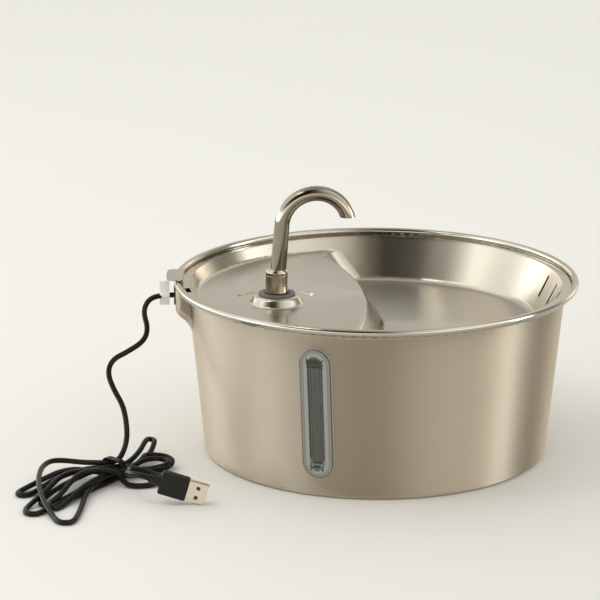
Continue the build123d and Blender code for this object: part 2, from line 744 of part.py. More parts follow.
with BuildPart() as spout_neck:
    add(neck_outside.part)
    with BuildSketch(Plane.XY.offset(TAIL_Z)):
        with Locations((SPOUT_X, SPOUT_Y)):
            Circle(TAIL_BORE_R)
    extrude(amount=LEAN_Z - TAIL_Z + TAIL_BORE_R * lean_dir[0], mode=Mode.SUBTRACT)
    with BuildLine(SPOUT_PROFILE) as bore:
        Line((0, LEAN_Z), riser_top)
        rise = JernArc(riser_top, lean_dir, RISE_ARC_R, LEAN - 90)
        JernArc(rise @ 1, (1, 0), FALL_ARC_R, -90)
    with BuildSketch(riser_foot_plane):
        Circle(NECK_BORE_R)
    sweep(path=bore.wires()[0], mode=Mode.SUBTRACT)
    # the tip is cut level
    with BuildSketch(Plane.XY.offset(TIP_Z)):
        with Locations((SPOUT_X + APEX_X + FALL_ARC_R, SPOUT_Y)):
            Circle(FALL_ARC_R - NECK_R)
    extrude(amount=-FALL_ARC_R, mode=Mode.SUBTRACT)
finish(spout_neck, "spout_neck")

with BuildPart() as spout_collar:
    with BuildSketch(SPOUT_PROFILE):
        with BuildLine():
            Polyline(
                (0, COLLAR_Z),
                (COLLAR_FOOT_R, COLLAR_Z),
                (COLLAR_SHOULDER_R, COLLAR_Z + COLLAR_SHOULDER),
                (COLLAR_TOP_R, COLLAR_Z + COLLAR_HEIGHT),
                (0, COLLAR_Z + COLLAR_HEIGHT),
                close=True,
            )
        make_face()
        # fine groove that sets the ring off from the collar
        groove_z = COLLAR_Z + COLLAR_SHOULDER - COLLAR_RING
        groove_r = COLLAR_FOOT_R + (COLLAR_SHOULDER_R - COLLAR_FOOT_R) * (
            1 - COLLAR_RING / COLLAR_SHOULDER
        )
        with Locations((groove_r, groove_z)):
            Rectangle(2 * COLLAR_GROOVE, COLLAR_GROOVE, mode=Mode.SUBTRACT)
    revolve(axis=SPOUT_AXIS)
    # the shoulder is rounded over
    shoulder = spout_collar.edges().filter_by(GeomType.CIRCLE).group_by(Axis.Z)[-2:]
    fillet(shoulder[0] + shoulder[1], COLLAR_EASE)
    add(neck_outside.part, mode=Mode.SUBTRACT)
finish(spout_collar, "spout_collar")

# ------------------------------------------------------------------ pump
with BuildPart() as pump_body:
    with BuildSketch(Plane.XY.offset(PUMP_Z)):
        with Locations((SPOUT_X + MOTOR_START + MOTOR_LENGTH / 2, SPOUT_Y)):
            Rectangle(MOTOR_LENGTH, MOTOR_WIDTH)
    extrude(amount=MOTOR_HEIGHT)
    fillet(pump_body.edges().filter_by(Axis.X), MOTOR_CORNER)
    fillet(pump_body.faces().sort_by(Axis.X)[-1].edges(), MOTOR_END_EDGE)
    # volute in front of the motor, and the outlet that rises from it
    with BuildSketch(rotor_plane(VOLUTE_BACK)):
        Circle(VOLUTE_R)
    extrude(amount=MOTOR_START - VOLUTE_BACK)
    with BuildSketch(Plane.XY.offset(ROTOR_Z)):
        with Locations((SPOUT_X, SPOUT_Y)):
            Circle(SPIGOT_R)
    extrude(amount=SPIGOT_Z - ROTOR_Z)
    # impeller chamber, rotor well, rear bush pocket and outlet bore
    with BuildSketch(rotor_plane(VOLUTE_BACK)):
        Circle(CHAMBER_R)
    extrude(amount=CHAMBER_BACK - VOLUTE_BACK, mode=Mode.SUBTRACT)
    with BuildSketch(rotor_plane(CHAMBER_BACK)):
        Circle(WELL_R)
    extrude(amount=WELL_END - CHAMBER_BACK, mode=Mode.SUBTRACT)
    with BuildSketch(rotor_plane(WELL_END)):
        Circle(BUSH_R)
    extrude(amount=BUSH_LENGTH, mode=Mode.SUBTRACT)
    with BuildSketch(Plane.XY.offset(ROTOR_Z + HUB_R)):
        with Locations((SPOUT_X, SPOUT_Y)):
            Circle(SPIGOT_BORE_R)
    extrude(amount=SPIGOT_Z - ROTOR_Z, mode=Mode.SUBTRACT)
    # blind holes for the stems of the suction cups
    cup_places = [(SPOUT_X + x, SPOUT_Y + y) for x in CUP_X for y in (-CUP_Y, CUP_Y)]
    with BuildSketch(Plane.XY.offset(PUMP_Z)):
        with Locations(*cup_places):
            Circle(CUP_STEM_R + RUN_FIT)
    extrude(amount=CUP_STEM + RUN_FIT, mode=Mode.SUBTRACT)
finish(pump_body, "pump_body")

with BuildPart() as pump_intake_cover:
    with BuildSketch(rotor_plane(VOLUTE_BACK - COVER_THICKNESS)):
        Circle(VOLUTE_R)
        with PolarLocations(COVER_SLOT_R, COVER_SLOTS):
            SlotOverall(COVER_SLOT_LENGTH, COVER_SLOT_WIDTH, mode=Mode.SUBTRACT)
    extrude(amount=COVER_THICKNESS)
    cover_rim = pump_intake_cover.edges().group_by(Axis.X)[0].sort_by(Edge.length.fget)[-1]
    fillet(cover_rim, COVER_EDGE)
    # front bush pocket
    with BuildSketch(rotor_plane(VOLUTE_BACK)):
        Circle(BUSH_R)
    extrude(amount=-COVER_THICKNESS / 2, mode=Mode.SUBTRACT)
finish(pump_intake_cover, "pump_intake_cover")

with BuildPart() as impeller_shaft:
    with BuildSketch(rotor_plane(VOLUTE_BACK - COVER_THICKNESS / 2)):
        Circle(SHAFT_R)
    extrude(amount=WELL_END + BUSH_LENGTH - VOLUTE_BACK + COVER_THICKNESS / 2)
finish(impeller_shaft, "impeller_shaft")

with BuildPart() as shaft_bushes:
    for start, length in (
        (VOLUTE_BACK - COVER_THICKNESS / 2, COVER_THICKNESS / 2),
        (WELL_END, BUSH_LENGTH),
    ):
        with BuildSketch(rotor_plane(start)):
            Circle(BUSH_R)
            Circle(SHAFT_R, mode=Mode.SUBTRACT)
        extrude(amount=length)
finish(shaft_bushes, "shaft_bushes")

with BuildPart() as rotor_magnet:
    with BuildSketch(rotor_plane(MAGNET_START)):
        Circle(MAGNET_R)
        Circle(SHAFT_R + RUN_FIT, mode=Mode.SUBTRACT)
    extrude(amount=MAGNET_END - MAGNET_START)
finish(rotor_magnet, "rotor_magnet")

with BuildSketch(mode=Mode.PRIVATE) as blade:
    with BuildLine():
        RadiusArc((0, 0), (BLADE_R, 0), BLADE_R)
    trace(line_width=BLADE_THICKNESS)

with BuildPart() as impeller:
    with BuildSketch(rotor_plane(BLADE_START)):
        Circle(HUB_R)
    extrude(amount=MAGNET_START - BLADE_START)
    with BuildSketch(rotor_plane(BLADE_END)):
        Circle(BLADE_R)
    extrude(amount=DISC_THICKNESS)
    # blades that sweep back from the hub
    with BuildSketch(rotor_plane(BLADE_START)):
        with PolarLocations(0, BLADE_COUNT):
            add(blade.sketch_local)
        Circle(BLADE_R, mode=Mode.INTERSECT)
    extrude(amount=BLADE_END - BLADE_START)
    with BuildSketch(rotor_plane(BLADE_START)):
        Circle(SHAFT_R + RUN_FIT)
    extrude(amount=MAGNET_START - BLADE_START, mode=Mode.SUBTRACT)
finish(impeller, "impeller")

with BuildPart() as suction_cups:
    for x, y in cup_places:
        cup_plane = Plane((x, y, BOX_FLOOR_Z + BOX_WALL), x_dir=(1, 0, 0), z_dir=(0, -1, 0))
        with BuildSketch(cup_plane):
            with BuildLine():
                Polyline(
                    (0, PUMP_FLOOR_GAP / 2),
                    (CUP_R, 0),
                    (CUP_R, CUP_LIP),
                    (CUP_STEM_R, PUMP_FLOOR_GAP),
                    (CUP_STEM_R, PUMP_FLOOR_GAP + CUP_STEM),
                    (0, PUMP_FLOOR_GAP + CUP_STEM),
                    close=True,
                )
            make_face()
        revolve(axis=Axis((x, y, 0), (0, 0, 1)))
finish(suction_cups, "suction_cups")

with BuildPart() as outlet_sleeve:
    with BuildSketch(Plane.XY.offset(SLEEVE_LOW_Z)):
        with Locations((SPOUT_X, SPOUT_Y)):
            Circle(SLEEVE_R)
            Circle(SLEEVE_BORE_R, mode=Mode.SUBTRACT)
    extrude(amount=SLEEVE_TOP_Z - SLEEVE_LOW_Z)
finish(outlet_sleeve, "outlet_sleeve")

# ------------------------------------------------------------------ filter box
with BuildPart() as filter_box:
    with BuildSketch(Plane.XY.offset(BOX_FLOOR_Z)):
        with Locations((BOX_X, SPOUT_Y)):
            Circle(BOX_R)
    extrude(amount=BOX_HEIGHT)
    fillet(filter_box.edges().group_by(Axis.Z)[0], BOX_CORNER)
    with BuildSketch(Plane.XY.offset(BOX_FLOOR_Z + BOX_WALL)):
        with Locations((BOX_X, SPOUT_Y)):
            Circle(BOX_R - BOX_WALL)
    extrude(amount=BOX_HEIGHT, mode=Mode.SUBTRACT)
    # notch that lets the pump's lead out under the lid
    notch_out = (cos(radians(LEAD_NOTCH_AZIMUTH)), sin(radians(LEAD_NOTCH_AZIMUTH)), 0)
    notch_plane = Plane(
        (BOX_X + BOX_R * notch_out[0], SPOUT_Y + BOX_R * notch_out[1], BOX_TOP_Z),
        x_dir=(-notch_out[1], notch_out[0], 0),
        z_dir=notch_out,
    )
    with BuildSketch(notch_plane):
        SlotOverall(2 * LEAD_NOTCH_DEPTH, LEAD_NOTCH_WIDTH, rotation=90)
    extrude(amount=2 * BOX_WALL, both=True, mode=Mode.SUBTRACT)
finish(filter_box, "filter_box")

with BuildPart() as filter_box_lid:
    inner_r = BOX_R - BOX_WALL
    with BuildSketch(Plane.XY.offset(BOX_TOP_Z)):
        with Locations((BOX_X, SPOUT_Y)):
            Circle(BOX_R)
    extrude(amount=LID_HEIGHT)
    fillet(filter_box_lid.edges().group_by(Axis.Z)[-1], LID_EDGE)
    with BuildSketch(Plane.XY.offset(BOX_TOP_Z)):
        with Locations((BOX_X, SPOUT_Y)):
            Circle(inner_r)
    extrude(amount=LID_HEIGHT - LID_THICKNESS, mode=Mode.SUBTRACT)
    # chimney round the outlet sleeve
    with BuildSketch(Plane.XY.offset(BOX_TOP_Z)):
        with Locations((SPOUT_X, SPOUT_Y)):
            Circle(CHIMNEY_R + CHIMNEY_WALL)
    extrude(amount=LID_HEIGHT)
    with BuildSketch(Plane.XY.offset(BOX_TOP_Z)):
        with Locations((SPOUT_X, SPOUT_Y)):
            Circle(CHIMNEY_R)
    extrude(amount=LID_HEIGHT, mode=Mode.SUBTRACT)
    # rim that locates the lid in the box, open at the lead, and the lip under the cartridge
    with BuildSketch(Plane.XY.offset(BOX_TOP_Z - LID_RIM_DEPTH)):
        with Locations((BOX_X, SPOUT_Y)):
            Circle(inner_r - LID_RIM_GAP)
            Circle(inner_r - LID_RIM_GAP - LID_RIM, mode=Mode.SUBTRACT)
    extrude(amount=LID_RIM_DEPTH + LEDGE_RING)
    with BuildSketch(Plane.XY.offset(BOX_TOP_Z)):
        with Locations((BOX_X, SPOUT_Y)):
            Circle(inner_r)
            Circle(inner_r - LID_RIM_GAP - LID_RIM, mode=Mode.SUBTRACT)
    extrude(amount=LEDGE_RING)
    with BuildSketch(notch_plane.offset(-2 * BOX_WALL)):
        with Locations((0, -LEAD_NOTCH_DEPTH)):
            Rectangle(2 * LEAD_NOTCH_WIDTH, 2 * LEAD_NOTCH_DEPTH)
    extrude(amount=4 * BOX_WALL, both=True, mode=Mode.SUBTRACT)
    # intake slots, all outside the chimney
    with BuildSketch(Plane.XY.offset(LID_TOP_Z)):
        with Locations((BOX_X, SPOUT_Y)):
            with PolarLocations(LID_SLOT_R, LID_SLOT_COUNT, start_angle=180 / LID_SLOT_COUNT):
                SlotOverall(LID_SLOT_LENGTH, LID_SLOT_WIDTH)
    extrude(amount=-LID_THICKNESS, mode=Mode.SUBTRACT)
finish(filter_box_lid, "filter_box_lid")

cartridge_low = BOX_TOP_Z + LEDGE_RING
cartridge_top = LID_TOP_Z - LID_THICKNESS - CARTRIDGE_GAP
cartridge_outer = BOX_R - BOX_WALL - CARTRIDGE_GAP
cartridge_hole = CHIMNEY_R + CHIMNEY_WALL + CARTRIDGE_GAP

with BuildPart() as cartridge_frame:
    with BuildSketch(Plane.XY.offset(cartridge_low)):
        with Locations((BOX_X, SPOUT_Y)):
            Circle(cartridge_outer)
            Circle(cartridge_outer - CARTRIDGE_WALL, mode=Mode.SUBTRACT)
        with Locations((SPOUT_X, SPOUT_Y)):
            Circle(cartridge_hole + CARTRIDGE_WALL)
            Circle(cartridge_hole, mode=Mode.SUBTRACT)
    extrude(amount=cartridge_top - cartridge_low)
    with BuildSketch(Plane.XY.offset(cartridge_low)):
        with Locations((BOX_X, SPOUT_Y)):
            with PolarLocations(0, CARTRIDGE_BARS, angular_range=180):
                Rectangle(2 * cartridge_outer - CARTRIDGE_WALL, BAR_WIDTH)
        with Locations((SPOUT_X, SPOUT_Y)):
            Circle(cartridge_hole, mode=Mode.SUBTRACT)
    extrude(amount=BAR_THICKNESS)
finish(cartridge_frame, "cartridge_frame")

with BuildPart() as carbon_pad:
    with BuildSketch(Plane.XY.offset(cartridge_low + BAR_THICKNESS)):
        with Locations((BOX_X, SPOUT_Y)):
            Circle(cartridge_outer - CARTRIDGE_WALL - CARTRIDGE_GAP)
        with Locations((SPOUT_X, SPOUT_Y)):
            Circle(cartridge_hole + CARTRIDGE_WALL + CARTRIDGE_GAP, mode=Mode.SUBTRACT)
    extrude(amount=cartridge_top - cartridge_low - BAR_THICKNESS)
finish(carbon_pad, "carbon_pad")

with BuildPart() as foam_filter:
    foam_r = BOX_R - BOX_WALL - FOAM_OUTER_GAP
    with BuildSketch(Plane.XY.offset(BOX_FLOOR_Z + BOX_WALL + FOAM_FLOOR_GAP)):
        with Locations((BOX_X, SPOUT_Y)):
            Circle(foam_r)
            Circle(foam_r - FOAM_WIDTH, mode=Mode.SUBTRACT)
    extrude(amount=FOAM_HEIGHT)
    # open where the lead rises to the notch
    with BuildSketch(notch_plane.offset(-BOX_R)):
        with Locations((0, -BOX_HEIGHT)):
            Rectangle(2 * BOX_R * tan(radians(FOAM_LEAD_GAP / 2)), 4 * BOX_HEIGHT)
    extrude(amount=BOX_R, mode=Mode.SUBTRACT)
finish(foam_filter, "foam_filter")

# ------------------------------------------------------------------ cord
lead_points = [(SPOUT_X + x, SPOUT_Y + y, z) for x, y, z in LEAD_START]
lead_points += [(OUTLET_X + x, y, z) for x, y, z in LEAD_END]
cord_points = [(OUTLET_X + x, y, z) for x, y, z in CORD_RUN]
CORD_NODES = {}
for label, points in (("pump_lead", lead_points), ("cord", cord_points)):
    radii = bend_radii(points)
    print(label, "radii", [round(radius, 1) for radius in radii])
    with BuildPart() as tube:
        with BuildLine() as route:
            FilletPolyline(*points, radius=radii)
        with BuildSketch(Plane(route.line @ 0, z_dir=route.line % 0)):
            Circle(CORD_R)
        sweep(path=route.wires()[0])
    length = route.wires()[0].length
    share = tube.part.volume / (length * pi * CORD_R**2)
    print(label, "length", round(length, 1), "volume over section times length", round(share, 4))
    CORD_NODES[label] = tube.part
    finish(tube, label)

# band round the hank's strands
with BuildPart() as cord_tie:
    along = (cos(radians(TIE_AZIMUTH)), sin(radians(TIE_AZIMUTH)), 0)
    across = (-along[1], along[0], 0)
    tie_plane = Plane((OUTLET_X + TIE_X, TIE_Y, 0), x_dir=across, z_dir=along)
    with BuildSketch(tie_plane):
        with Locations((0, TIE_HEIGHT / 2)):
            RectangleRounded(TIE_SPAN, TIE_HEIGHT, TIE_HEIGHT / 3)
            offset(amount=-TIE_THICKNESS, mode=Mode.SUBTRACT)
    extrude(amount=TIE_WIDTH / 2, both=True)
finish(cord_tie, "cord_tie")

with BuildPart() as cord_hank:
    with BuildSketch():
        with BuildLine():
            Spline(*[(OUTLET_X + x, y) for x, y in HANK_OUTLINE], periodic=True)
        make_face()
    extrude(amount=HANK_HEIGHT)
    fillet(cord_hank.edges().group_by(Axis.Z)[-1], HANK_FILLET)
    add(cord_tie.part, mode=Mode.SUBTRACT)
finish(cord_hank, "cord_hank")

# ------------------------------------------------------------------ USB plug
dip = radians(USB_DIP)
tilt = radians(USB_TILT)
usb_ahead = (cos(radians(USB_AZIMUTH)), sin(radians(USB_AZIMUTH)))
usb_axis = (usb_ahead[0] * cos(dip), usb_ahead[1] * cos(dip), -sin(dip))
usb_normal = (
    usb_ahead[1] * cos(tilt) + usb_ahead[0] * sin(dip) * sin(tilt),
    -usb_ahead[0] * cos(tilt) + usb_ahead[1] * sin(dip) * sin(tilt),
    cos(dip) * sin(tilt),
)
# the nose of the shell, or the body if that is lower, rests on the floor
usb_z = max(
    reach * sin(dip) + (width * cos(tilt) + thickness * sin(tilt)) * cos(dip) / 2
    for reach, width, thickness in (
        (USB_LENGTH, USB_WIDTH, USB_THICKNESS),
        (USB_LENGTH + SHELL_LENGTH, SHELL_WIDTH, SHELL_THICKNESS),
    )
)
usb_plane = Plane((OUTLET_X + USB_X, USB_Y, usb_z), x_dir=usb_axis, z_dir=usb_normal)
usb_section = Plane(usb_plane.origin, x_dir=usb_plane.y_dir, z_dir=usb_plane.x_dir)

with BuildPart() as usb_plug:
    with BuildSketch(usb_section):
        Rectangle(USB_WIDTH, USB_THICKNESS)
    extrude(amount=USB_LENGTH)
    fillet(usb_plug.edges(), USB_CORNER)
    # pocket that holds the root of the contact shell
    with BuildSketch(usb_section.offset(USB_LENGTH)):
        Rectangle(SHELL_WIDTH, SHELL_THICKNESS)
    extrude(amount=-USB_CORNER, mode=Mode.SUBTRACT)
    # strain relief boot
    with BuildSketch(usb_section):
        Circle(BOOT_R)
    with BuildSketch(usb_section.offset(-BOOT_LENGTH)):
        Circle(BOOT_END_R)
    loft()
finish(usb_plug, "usb_plug")

with BuildPart() as usb_shell:
    with BuildSketch(usb_section.offset(USB_LENGTH - USB_CORNER)):
        Rectangle(SHELL_WIDTH, SHELL_THICKNESS)
    extrude(amount=SHELL_LENGTH + USB_CORNER)
    with BuildSketch(usb_section.offset(USB_LENGTH)):
        Rectangle(SHELL_WIDTH - 2 * SHELL_WALL, SHELL_THICKNESS - 2 * SHELL_WALL)
    extrude(amount=SHELL_LENGTH, mode=Mode.SUBTRACT)
    with BuildSketch(usb_plane):
        with Locations((USB_LENGTH + SHELL_HOLE_X, 0)):
            with GridLocations(0, SHELL_HOLE_PITCH, 1, 2):
                Rectangle(SHELL_HOLE, SHELL_HOLE)
    extrude(amount=SHELL_THICKNESS, both=True, mode=Mode.SUBTRACT)
finish(usb_shell, "usb_shell")

with BuildPart() as usb_tongue:
    tongue_offset = SHELL_THICKNESS / 2 - SHELL_WALL - TONGUE_THICKNESS / 2
    with BuildSketch(usb_section.offset(USB_LENGTH)):
        with Locations((0, tongue_offset)):
            Rectangle(TONGUE_WIDTH, TONGUE_THICKNESS)
    extrude(amount=TONGUE_LENGTH)
finish(usb_tongue, "usb_tongue")

with BuildPart() as cord_plug_end:
    straight = [usb_section.offset(-BOOT_LENGTH - run).origin for run in (0, CORD_END_STRAIGHT)]
    end_points = [tuple(place) for place in straight]
    end_points += [(OUTLET_X + x, y, z) for x, y, z in CORD_END_RUN]
    with BuildLine() as route:
        FilletPolyline(*end_points, radius=bend_radii(end_points))
    with BuildSketch(Plane(route.line @ 0, z_dir=route.line % 0)):
        Circle(CORD_R)
    sweep(path=route.wires()[0])
finish(cord_plug_end, "cord_plug_end")

# ------------------------------------------------------------------ tag of the cord
with BuildPart() as cord_tag:
    tag_plane = Plane((OUTLET_X + TAG_X, 0, OUTLET_Z), x_dir=(0, 0, 1), z_dir=(-1, 0, 0))
    with BuildSketch(tag_plane):
        with Locations((TAG_RISE, 0)):
            Rectangle(TAG_HEIGHT, TAG_THICKNESS)
        Circle(CORD_R + TAG_WRAP)
    extrude(amount=TAG_LENGTH / 2, both=True)
    add(CORD_NODES["cord"], mode=Mode.SUBTRACT)
finish(cord_tag, "cord_tag")
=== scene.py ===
import math

import bpy
import numpy as np
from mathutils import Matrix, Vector


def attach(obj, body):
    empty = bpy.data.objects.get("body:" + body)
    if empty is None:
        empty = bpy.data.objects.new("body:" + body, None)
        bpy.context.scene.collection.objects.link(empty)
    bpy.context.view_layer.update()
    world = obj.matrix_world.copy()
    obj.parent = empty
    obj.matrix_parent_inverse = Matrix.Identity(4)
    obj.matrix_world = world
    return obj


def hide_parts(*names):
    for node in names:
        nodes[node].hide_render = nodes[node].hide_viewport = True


MM = 0.001

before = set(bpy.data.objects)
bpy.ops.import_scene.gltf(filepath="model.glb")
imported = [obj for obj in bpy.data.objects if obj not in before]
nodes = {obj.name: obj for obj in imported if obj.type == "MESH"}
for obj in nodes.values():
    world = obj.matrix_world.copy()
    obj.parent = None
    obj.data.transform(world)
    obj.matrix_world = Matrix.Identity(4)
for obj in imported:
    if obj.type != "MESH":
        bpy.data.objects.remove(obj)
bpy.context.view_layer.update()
scene = bpy.context.scene


# ---------------------------------------------------------------- node graphs


class Graph:
    """Short calls for building a node tree."""

    def __init__(self, tree):
        self.tree = tree
        self.tree.nodes.clear()

    def add(self, kind, **settings):
        node = self.tree.nodes.new(kind)
        for key, value in settings.items():
            setattr(node, key, value)
        return node

    def put(self, socket, value):
        if isinstance(value, bpy.types.NodeSocket):
            self.tree.links.new(value, socket)
        else:
            socket.default_value = value

    def math(self, operation, first, second=0.0, clamp=False):
        node = self.add("ShaderNodeMath", operation=operation, use_clamp=clamp)
        self.put(node.inputs[0], first)
        self.put(node.inputs[1], second)
        return node.outputs[0]

    def times(self, first, second):
        return self.math("MULTIPLY", first, second)

    def blend(self, first, second, share):
        """The first by its share and the second by the rest."""
        return self.math("ADD", self.times(first, share), self.times(second, 1.0 - share))

    def hypotenuse(self, first, second):
        squares = self.math("ADD", self.times(first, first), self.times(second, second))
        return self.math("SQRT", squares)

    def remap(self, value, low, high, to_low=0.0, to_high=1.0):
        node = self.add("ShaderNodeMapRange")
        self.put(node.inputs["Value"], value)
        self.put(node.inputs["From Min"], low)
        self.put(node.inputs["From Max"], high)
        self.put(node.inputs["To Min"], to_low)
        self.put(node.inputs["To Max"], to_high)
        return node.outputs["Result"]

    def position(self):
        return self.add("ShaderNodeTexCoord").outputs["Object"]

    def split(self, vector):
        node = self.add("ShaderNodeSeparateXYZ")
        self.put(node.inputs[0], vector)
        return node.outputs[0], node.outputs[1], node.outputs[2]

    def join(self, x, y, z):
        node = self.add("ShaderNodeCombineXYZ")
        self.put(node.inputs[0], x)
        self.put(node.inputs[1], y)
        self.put(node.inputs[2], z)
        return node.outputs[0]

    def noise(self, vector, scale, detail=2.0, roughness=0.5):
        node = self.add("ShaderNodeTexNoise")
        self.put(node.inputs["Vector"], vector)
        node.inputs["Scale"].default_value = scale
        node.inputs["Detail"].default_value = detail
        node.inputs["Roughness"].default_value = roughness
        return node.outputs["Fac"]

    def mix(self, factor, first, second):
        node = self.add("ShaderNodeMix", data_type="RGBA")
        self.put(node.inputs["Factor"], factor)
        self.put(node.inputs["A"], first)
        self.put(node.inputs["B"], second)
        return node.outputs["Result"]

    def ramp(self, factor, stops):
        node = self.add("ShaderNodeValToRGB")
        node.color_ramp.interpolation = "LINEAR"
        elements = node.color_ramp.elements
        while len(elements) < len(stops):
            elements.new(0.5)
        for element, (place, colour) in zip(elements, stops):
            element.position = place
            element.color = colour
        self.put(node.inputs["Fac"], factor)
        return node.outputs["Color"]

    def bump(self, height, strength, distance):
        node = self.add("ShaderNodeBump")
        node.inputs["Strength"].default_value = strength
        node.inputs["Distance"].default_value = distance
        self.put(node.inputs["Height"], height)
        return node.outputs["Normal"]


def rgb(red, green, blue):
    return (red, green, blue, 1.0)


def shade(colour, factor):
    return rgb(colour[0] * factor, colour[1] * factor, colour[2] * factor)


def new_material(name):
    material = bpy.data.materials.new(name)
    material.use_nodes = True
    graph = Graph(material.node_tree)
    output = graph.add("ShaderNodeOutputMaterial")
    shader = graph.add("ShaderNodeBsdfPrincipled")
    graph.put(output.inputs["Surface"], shader.outputs["BSDF"])
    return material, graph, shader


# ------------------------------------------------------------------ materials

RIM_ROUGHNESS = 0.14
RIM_COLOUR = (0.46, 0.435, 0.375)
FIBRES_ACROSS = 2600.0  # noise cells in a metre across the brushed lines
FIBRES_ALONG = 14.0  # noise cells in a metre along them


def mottled(graph, tone, colour, swing):
    """The colour, darker by the swing where the tone is low and lighter where it is high."""
    dark = shade(colour, 1.0 - swing)
    light = shade(colour, 1.0 + swing)
    return graph.mix(graph.remap(tone, 0.3, 0.7), dark, light)


def brushed_steel(name, colour, roughness, anisotropy, grain, rim):
    """Sheet metal with fine lines round the Z axis, polished from the rim's lower height up."""
    material, graph, shader = new_material(name)
    position = graph.position()
    x, y, z = graph.split(position)
    lines = graph.times(graph.math("ADD", z, graph.hypotenuse(x, y)), FIBRES_ACROSS)
    slow_x = graph.times(x, FIBRES_ALONG)
    slow_y = graph.times(y, FIBRES_ALONG)
    fibres = graph.noise(graph.join(slow_x, slow_y, lines), 1.0, 3.0, 0.6)
    cloud = graph.noise(position, 22.0, 2.0, 0.5)
    sheet = mottled(graph, graph.blend(fibres, cloud, 0.7), colour, 0.07 * grain)
    low, high = rim
    colours = graph.mix(graph.remap(z, low, high), sheet, rgb(*RIM_COLOUR))
    graph.put(shader.inputs["Base Color"], colours)
    shader.inputs["Metallic"].default_value = 1.0
    graph.put(shader.inputs["Roughness"], graph.remap(z, low, high, roughness, RIM_ROUGHNESS))
    shader.inputs["Anisotropic"].default_value = anisotropy
    shader.inputs["Anisotropic Rotation"].default_value = 0.25
    tangent = graph.add("ShaderNodeTangent", direction_type="RADIAL", axis="Z")
    graph.put(shader.inputs["Tangent"], tangent.outputs[0])
    graph.put(shader.inputs["Normal"], graph.bump(fibres, 0.12 * grain, 0.00006))
    return material


def polished_steel(name, colour, roughness, mottle=0.08):
    """Bright metal with faint polishing marks."""
    material, graph, shader = new_material(name)
    position = graph.position()
    marks = graph.noise(position, 900.0, 3.0, 0.6)
    cloud = graph.noise(position, 90.0, 2.0, 0.5)
    tone = graph.blend(marks, cloud, 0.5)
    graph.put(shader.inputs["Base Color"], mottled(graph, tone, colour, mottle))
    shader.inputs["Metallic"].default_value = 1.0
    shader.inputs["Roughness"].default_value = roughness
    graph.put(shader.inputs["Normal"], graph.bump(marks, 0.1, 0.00005))
    return material


def moulded(name, colour, roughness, grain_scale=1800.0, variation=0.12, relief=0.15, shine=0.5):
    """Plastic or rubber with a fine moulded grain."""
    material, graph, shader = new_material(name)
    position = graph.position()
    grain = graph.noise(position, grain_scale, 2.0, 0.6)
    cloud = graph.noise(position, 70.0, 2.0, 0.5)
    tone = graph.blend(grain, cloud, 0.5)
    graph.put(shader.inputs["Base Color"], mottled(graph, tone, colour, variation))
    shader.inputs["Roughness"].default_value = roughness
    shader.inputs["Specular IOR Level"].default_value = shine
    graph.put(shader.inputs["Normal"], graph.bump(grain, relief, 0.00008))
    return material


# the window's middle line: its direction across, and its ends in metres above the table
LENS_ACROSS = (0.927, 0.3746)
FLANGE_ENDS = (0.02275, 0.08525)
SLOT_ENDS = (0.0268, 0.08525)
SLOT_EDGE = (0.0045, 0.0049)
# paler patches over the window: their largest share and their colour
PALE_PATCH_SHARE = 0.15
PALE_PATCH_COLOUR = (0.26, 0.26, 0.24)
# colours of the flange by distance from the middle line, as shares of its reach: painted light and
# shade, a lighter band of painted highlight, darker bands of painted shade, and a dark outline at the
# edge for the gasket and its painted shadow
FLANGE_REACH = 0.010
FLANGE_PAINTED_LIGHT_BANDS = [
    (0.49, rgb(0.29, 0.30, 0.275)),
    (0.66, rgb(0.33, 0.335, 0.305)),
    (0.74, rgb(0.21, 0.20, 0.175)),
    (0.88, rgb(0.24, 0.225, 0.195)),
    (0.925, rgb(0.05, 0.042, 0.03)),
]
# colours seen through the slot, in the same way: painted shade of the bowl's dark inside, with darker
# painted lines near its sides
SLOT_REACH = 0.005
SLOT_PAINTED_SHADE_BANDS = [
    (0.0, rgb(0.055, 0.052, 0.044)),
    (0.42, rgb(0.062, 0.059, 0.05)),
    (0.56, rgb(0.028, 0.027, 0.023)),
    (0.68, rgb(0.075, 0.073, 0.064)),
    (0.86, rgb(0.022, 0.021, 0.018)),
]


def capsule_distance(graph, across, height, ends):
    """Distance from the upright line between two heights."""
    low, high = ends
    above = graph.math("SUBTRACT", height, high)
    below = graph.math("SUBTRACT", low, height)
    beyond = graph.math("MAXIMUM", graph.math("MAXIMUM", above, below), 0.0)
    return graph.hypotenuse(across, beyond)


def painted_lens_look(name):
    """Clear plastic window with painted light and shade: painted highlight and shade bands on its
    flange, and in the middle the painted shade of the dark slot seen through it.
    """
    material, graph, shader = new_material(name)
    position = graph.position()
    x, y, z = graph.split(position)
    over_x = graph.times(x, LENS_ACROSS[0])
    over_y = graph.times(y, LENS_ACROSS[1])
    across = graph.math("SUBTRACT", over_x, over_y)
    flange_away = capsule_distance(graph, across, z, FLANGE_ENDS)
    slot_away = capsule_distance(graph, across, z, SLOT_ENDS)
    # painted highlight and painted shade across the flange, dark outline at its edge
    flange = graph.ramp(graph.remap(flange_away, 0.0, FLANGE_REACH), FLANGE_PAINTED_LIGHT_BANDS)
    off_middle = graph.math("ABSOLUTE", across)
    # painted shade of the bowl's dark inside, seen through the slot
    slot = graph.ramp(graph.remap(off_middle, 0.0, SLOT_REACH), SLOT_PAINTED_SHADE_BANDS)
    tone = graph.mix(graph.remap(slot_away, *SLOT_EDGE), slot, flange)
    # paler patches mixed in by a noise stretched along the window's height
    patch_noise = graph.noise(graph.join(x, y, graph.times(z, 0.25)), 420.0, 3.0, 0.6)
    patch_amount = graph.remap(patch_noise, 0.45, 0.95, 0.0, PALE_PATCH_SHARE)
    graph.put(shader.inputs["Base Color"], graph.mix(patch_amount, tone, rgb(*PALE_PATCH_COLOUR)))
    shader.inputs["Roughness"].default_value = 0.28
    shader.inputs["Coat Weight"].default_value = 0.5
    shader.inputs["Coat Roughness"].default_value = 0.1
    return material


